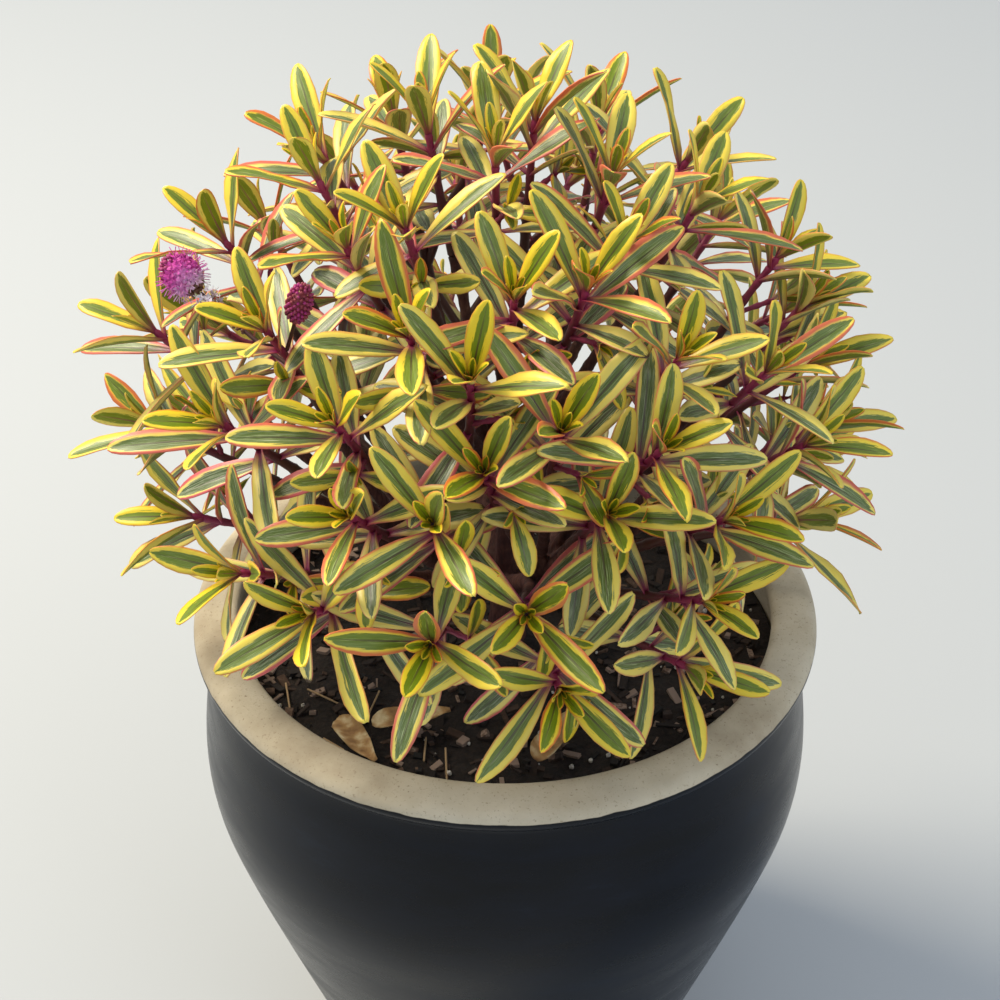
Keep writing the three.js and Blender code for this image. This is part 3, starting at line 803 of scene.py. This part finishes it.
# Young stems are magenta where they still grow and turn maroon, then brown, with age.
young_stem, tree, shader = new_material("young hebe stem")
age = add(tree, "Attribute", {"attribute_name": "age"}).outputs["Fac"]
spot = add(tree, "TexCoord").outputs["Object"]
mottle = add(tree, "TexNoise", {"Scale": 500, "Detail": 3}, {"Vector": spot}).outputs[0]
aged = maths(tree, "MULTIPLY_ADD", mottle, 0.35, age)
tint = add(tree, "ValToRGB", {"stops": [(0.1, "#a0305f"), (0.4, "#7c2140"), (0.7, "#52191f"),
                                        (1.0, "#45231b")]}, {0: aged})
tree.links.new(tint.outputs[0], shader.inputs["Base Color"])
shader.inputs["Roughness"].default_value = 0.5
skin_relief = add(tree, "Bump", {"Strength": 0.3, "Distance": 0.0003}, {"Height": mottle})
tree.links.new(skin_relief.outputs[0], shader.inputs["Normal"])

# How far below a shoot's tip its pairs of leaves stand, in mm.
LEAF_KNOTS = (4, 10, 19, 31, 46, 60)


def leafy_stem(name, line, thick, thin):
    """A young stem that thins to its growing tip, swollen where its pairs of leaves leave it."""
    count = len(line)
    to_tip = [sum((q - p).length for p, q in zip(line[i:], line[i + 1:])) / MM for i in range(count)]
    radii = [np.interp(d, [0, 3, 72], [thin * 0.6, thin, thick])
             + 0.45 * sum(math.exp(-((d - knot) / 1.6) ** 2) for knot in LEAF_KNOTS) for d in to_tip]
    piece = stem_piece(name, line, radii)
    piece.data.materials.append(young_stem)
    around = len(piece.data.vertices) // count
    ages = [min(1, to_tip[min(i // around, count - 1)] / 70) for i in range(len(piece.data.vertices))]
    piece.data.attributes.new("age", "FLOAT", "POINT").data.foreach_set("value", ages)
    return piece


# The pairs still in bud: how far below the tip, how long, how steep in degrees, and how wide.
YOUNG_PAIRS = [(2.4, 25, 78, 7.5), (1.2, 15, 82, 5), (0.5, 8, 86, 3)]
for branch in branches:
    parts = [leafy_stem("stem", line, 2.7 if k == 0 else 2.4, 1.6) for k, line in enumerate(branch["stems"])]
    leaves = cad_leaves(branch["node"])
    for leaf in leaves:
        away = [(min((p - leaf["base"]).length for p in line), (line[-1] - leaf["base"]).length, line)
                for line in branch["stems"]]
        nearest, to_tip, line = min(away, key=lambda entry: entry[0])
        on_side_shoot = nearest > ON_SIDE_SHOOT
        age = 0.15 if on_side_shoot else np.interp(to_tip / MM, [3, 20, 48], [0.05, 0.6, 1.0])
        age = min(1, max(0, age + dice.uniform(-0.15, 0.15)))
        parts.append(placed_leaf(leaf["base"], leaf["along"], leaf["up"], leaf["length"], leaf["width"], age))
        leaf["side"] = on_side_shoot
        leaf["stem"] = line

    # The leaves still in bud, wrapped upright round each growing tip.
    for line in branch["stems"]:
        tip = line[-1]
        axis = (line[-1] - line[-4]).normalized()
        own = [leaf for leaf in leaves if leaf["stem"] is line and not leaf["side"]]
        top = min(own, key=lambda leaf: (leaf["base"] - tip).length)
        square = (top["along"] - axis * top["along"].dot(axis)).normalized()
        for order, (below, length, rise, width) in enumerate(YOUNG_PAIRS):
            facing = square if order % 2 else axis.cross(square)
            for way in (facing, -facing):
                lean = math.radians(rise)
                along = way * math.cos(lean) + axis * math.sin(lean)
                up = axis * math.cos(lean) - way * math.sin(lean)
                base = tip - axis * below * MM + way * 0.6 * MM
                parts.append(placed_leaf(base, along, up, length * MM, width * MM, 0.0))

    # The side shoot: a short stem to its own pair, and its bud.
    side = [leaf for leaf in leaves if leaf["side"]]
    if side:
        end = sum((leaf["base"] for leaf in side), Vector()) / len(side)
        line = side[0]["stem"]
        start = min(line, key=lambda p: abs((line[-1] - p).length - 39 * MM))
        way = (end - start).normalized()
        tip = end + way * 3 * MM
        parts.append(leafy_stem("side_stem", [start.lerp(tip, i / 12) for i in range(13)], 1.6, 1.2))
        square = (side[0]["along"] - way * side[0]["along"].dot(way)).normalized()
        for order, (below, length, rise, width) in enumerate([(-0.5, 22, 60, 7), (1.5, 13, 78, 4.5)]):
            facing = way.cross(square) if order % 2 == 0 else square
            for out in (facing, -facing):
                lean = math.radians(rise)
                along = out * math.cos(lean) + way * math.sin(lean)
                up = way * math.cos(lean) - out * math.sin(lean)
                parts.append(placed_leaf(tip - way * below * MM, along, up, length * MM, width * MM, 0.0))
    shoot = joined(branch["node"].replace("leafy_shoot", "shoot").replace("forked_branch", "branch"), parts)
    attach(shoot, "root")
    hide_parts(branch["node"])

# ---- the open raceme --------------------------------------------------------------------------
# A round head of four-petalled florets on a thin dark stalk. It opens from the bottom: spent brown
# capsules by the stalk, faded florets above them, magenta ones over the middle and buds at the top.


def raceme_line(below, bearing, tilt, stalk):
    """The stalk of a raceme, from the axil it stands in to the foot of its head, and the way it points."""
    axil = stretch(branches[FLOWERING]["line"], below * MM, below * MM, 1)[0]
    aim = heading(bearing, tilt)
    start = axil + aim * 2.1 * 1.6 * MM
    bend = start + aim * stalk * 0.6 * MM
    neck = start + (aim + UP * 0.08) * stalk * MM
    line = [start * (1 - t) ** 2 + bend * 2 * t * (1 - t) + neck * t * t for t in np.linspace(0, 1, 24)]
    return line, (neck - bend).normalized()


def head_places(middle, rise, radius, half_length, count):
    """Evenly spread places over an egg-shaped head, with the way each one faces."""
    turn = rise.to_track_quat("Z", "Y").to_matrix()
    for i in range(count):
        height = 1 - 2 * (i + 0.5) / count
        ring = math.sqrt(1 - height * height)
        angle = i * math.pi * (3 - math.sqrt(5))
        facing = Vector((ring * math.cos(angle), ring * math.sin(angle), height))
        place = Vector((facing.x * radius, facing.y * radius, facing.z * half_length)) * MM
        yield middle + turn @ place, turn @ facing


def bead(name, radius, length):
    """A small egg-shaped bud along +Z, made from a few faces."""
    bpy.ops.object.select_all(action="DESELECT")
    bpy.ops.mesh.primitive_ico_sphere_add(subdivisions=1, radius=1, location=(0, 0, 0))
    piece = bpy.context.object
    piece.name = name
    piece.data.transform(Matrix.Diagonal((radius * MM, radius * MM, length / 2 * MM, 1)))
    bpy.ops.object.shade_smooth()
    tone_attribute(piece.data, "bloom", 0.5)
    return piece


def faced(place, facing, size=1.0):
    """A matrix that stands a shape made along +Z at a place, facing outwards, with a chance turn."""
    return (Matrix.Translation(place) @ facing.to_track_quat("Z", "Y").to_matrix().to_4x4()
            @ Matrix.Rotation(dice.uniform(0, 2 * math.pi), 4, "Z") @ Matrix.Scale(size, 4))


# One floret: four rounded petals that cup outwards, and two long stamens with dark anthers.
petals = []
for quarter in range(4):
    bpy.ops.object.select_all(action="DESELECT")
    bpy.ops.mesh.primitive_grid_add(x_subdivisions=3, y_subdivisions=2, size=1, location=(0, 0, 0))
    petal = bpy.context.object
    for vertex in petal.data.vertices:
        share, side = vertex.co.x + 0.5, vertex.co.y * 2
        half = 1.25 * math.sin(math.pi * (0.12 + 0.76 * share))
        vertex.co = Vector((0.3 + 2.7 * share, side * half, 0.9 * share * share - 0.25 * abs(side))) * MM
    petal.data.transform(Matrix.Rotation(quarter * math.pi / 2, 4, "Z"))
    petals.append(petal)
for side in (-1, 1):
    bpy.ops.object.select_all(action="DESELECT")
    bpy.ops.mesh.primitive_cone_add(vertices=4, radius1=0.12 * MM, radius2=0.26 * MM, depth=5.2 * MM,
                                    location=(0, 0, 0))
    stamen = bpy.context.object
    stamen.data.transform(Matrix.Rotation(side * 0.35, 4, "Y") @ Matrix.Translation((0, 0, 2.6 * MM)))
    petals.append(stamen)
floret = joined("floret", petals)
select_only(floret)
bpy.ops.object.shade_smooth()
tone_attribute(floret.data, "bloom", 0.5)
small_bud = bead("floret_bud", 1.0, 3.2)
capsule = bead("seed_capsule", 1.2, 3.4)

head_line, head_rise = raceme_line(36, -125, 72, 58)
head_middle = head_line[-1] + head_rise * 13 * MM
flower_parts = [stem_piece("stalk", head_line, np.linspace(1.1, 0.9, len(head_line)))]
tone_attribute(flower_parts[0].data, "bloom", -1.0)
core = bead("core", 7.5, 21)
flower_parts.append(copy_of(core, faced(head_middle, head_rise), bloom=0.1))
FADES_TOWARDS = Vector((0.7, -0.35, -0.62)).normalized()
for place, facing in head_places(head_middle, head_rise, 8.6, 11.2, 120):
    stage = 0.5 + 0.42 * facing.dot(FADES_TOWARDS) + dice.uniform(-0.14, 0.14)
    if facing.dot(head_rise) < -0.82:
        flower_parts.append(copy_of(capsule, faced(place, facing), bloom=-0.6))
    elif stage < 0.24:
        flower_parts.append(copy_of(small_bud, faced(place, facing, dice.uniform(0.9, 1.2)), bloom=0.1))
    else:
        flower_parts.append(copy_of(floret, faced(place, facing, dice.uniform(0.78, 1.0)), bloom=stage))
FLORET_COUNT = 46
for k in range(FLORET_COUNT):
    at = head_line[len(head_line) - 2 - k // 4]
    outwards = Matrix.Rotation(k * math.radians(137.5), 4, head_rise) @ head_rise.orthogonal().normalized()
    facing = (outwards + head_rise * 0.5).normalized()
    place = at + outwards * dice.uniform(2.0, 5.0) * MM * (1 - k / 90)
    flower_parts.append(stem_piece("pedicel", [at, place], [0.25, 0.2]))
    tone_attribute(flower_parts[-1].data, "bloom", -0.7)
    if k < 14:
        flower_parts.append(copy_of(floret, faced(place, facing, dice.uniform(0.7, 0.95)), bloom=1.0))
    else:
        flower_parts.append(copy_of(capsule, faced(place, facing, dice.uniform(0.6, 0.85)), bloom=-0.6))
flower_raceme = joined("flower_raceme_open", flower_parts)

petal_skin, tree, shader = new_material("hebe petals and buds")
bloom = add(tree, "Attribute", {"attribute_name": "bloom"}).outputs["Fac"]
spot = add(tree, "TexCoord").outputs["Object"]
flecks = add(tree, "TexNoise", {"Scale": 1100, "Detail": 2}, {"Vector": spot}).outputs[0]
spread = maths(tree, "MULTIPLY_ADD", flecks, 0.16, bloom)
stage_share = ranged(tree, spread, -0.92, 1.08)
tint = add(tree, "ValToRGB", {"stops": [(0.0, "#46211f"), (0.2, "#6d4a38"), (0.5, "#95404f"),
                                        (0.62, "#b82f8e"), (0.76, "#d24cae"), (0.87, "#dfa3d6"),
                                        (1.0, "#f2e6f0")]}, {0: stage_share})
tree.links.new(tint.outputs[0], shader.inputs["Base Color"])
shader.inputs["Roughness"].default_value = 0.6
shader.inputs["Subsurface Weight"].default_value = 0.15
shader.inputs["Subsurface Radius"].default_value = (0.002, 0.001, 0.0015)
shader.inputs["Subsurface Scale"].default_value = 1.0
flower_raceme.data.materials.clear()
flower_raceme.data.materials.append(petal_skin)
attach(flower_raceme, "root")
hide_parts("flower_raceme")

# ---- the raceme in bud ------------------------------------------------------------------------
# The same kind of head before it opens: a tight egg of small maroon-pink buds on a short stalk.
bud_line, bud_rise = raceme_line(22, 55, 20, 18)
bud_middle = bud_line[-1] + bud_rise * 11 * MM
bud_parts = [stem_piece("stalk", bud_line, np.linspace(1.1, 0.9, len(bud_line)))]
tone_attribute(bud_parts[0].data, "bloom", -1.0)
bud_parts.append(copy_of(core, faced(bud_middle, bud_rise, 0.72), bloom=0.0))
tight_bud = bead("tight_bud", 0.95, 2.8)
for place, facing in head_places(bud_middle, bud_rise, 5.6, 11.0, 150):
    standing = faced(place, facing, dice.uniform(0.85, 1.1))
    bud_parts.append(copy_of(tight_bud, standing, bloom=dice.uniform(-0.05, 0.2)))
bud_raceme = joined("bud_raceme_closed", bud_parts)
bud_raceme.data.materials.clear()
bud_raceme.data.materials.append(petal_skin)
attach(bud_raceme, "root")
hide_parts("bud_raceme")
for master in (floret, small_bud, capsule, core, tight_bud):
    bpy.data.objects.remove(master)

# ---- what has dropped on the mix --------------------------------------------------------------
# Three dead leaves, dried to tan and cream and curled up at their edges, and a few straw-like twigs.
dry_leaf, tree, shader = new_material("dry dead leaf")
spot = add(tree, "TexCoord").outputs["Object"]
blotch = add(tree, "TexNoise", {"Scale": 130, "Detail": 4}, {"Vector": spot}).outputs[0]
tint = add(tree, "ValToRGB", {"stops": [(0.3, "#7d5836"), (0.5, "#b08a58"), (0.7, "#dccba0")]}, {0: blotch})
tree.links.new(tint.outputs[0], shader.inputs["Base Color"])
shader.inputs["Roughness"].default_value = 0.85
for i in range(3):
    node = f"fallen_leaf_{i + 1}"
    lying = cad_leaves(node)[0]
    across = lying["up"].cross(lying["along"])
    turn = Matrix((lying["along"], across, lying["up"])).transposed().to_4x4()
    size = Matrix.Diagonal((lying["length"] / LEAF_LENGTH, lying["width"] / LEAF_WIDTH, 1, 1))
    dead = copy_of(curled_master, Matrix.Translation(lying["base"]) @ turn @ size)
    dead.name = f"dead_leaf_{i + 1}"
    dead.data.materials.clear()
    dead.data.materials.append(dry_leaf)
    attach(dead, "root")
    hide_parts(node)

twigs = []
for _ in range(9):
    bearing = math.radians(dice.uniform(-75, 20))
    from_axis = dice.uniform(88, 128)
    x, y = from_axis * math.sin(bearing), -from_axis * math.cos(bearing)
    way = dice.uniform(0, math.pi)
    half = dice.uniform(7, 15)
    ends = [(x + t * half * math.cos(way), y + t * half * math.sin(way)) for t in np.linspace(-1, 1, 7)]
    top = max(mix_height(px, py) for px, py in ends)
    line = [Vector((px, py, top + 1.1)) * MM for px, py in ends]
    twigs.append(stem_piece("twig", line, [0.55] * len(line)))
dry_twigs = joined("dry_twigs", twigs)
straw, tree, shader = new_material("dry straw")
shader.inputs["Base Color"].default_value = linear("#a98d68")
shader.inputs["Roughness"].default_value = 0.85
dry_twigs.data.materials.clear()
dry_twigs.data.materials.append(straw)
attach(dry_twigs, "root")
for master in [*leaf_masters, curled_master]:
    bpy.data.objects.remove(master)
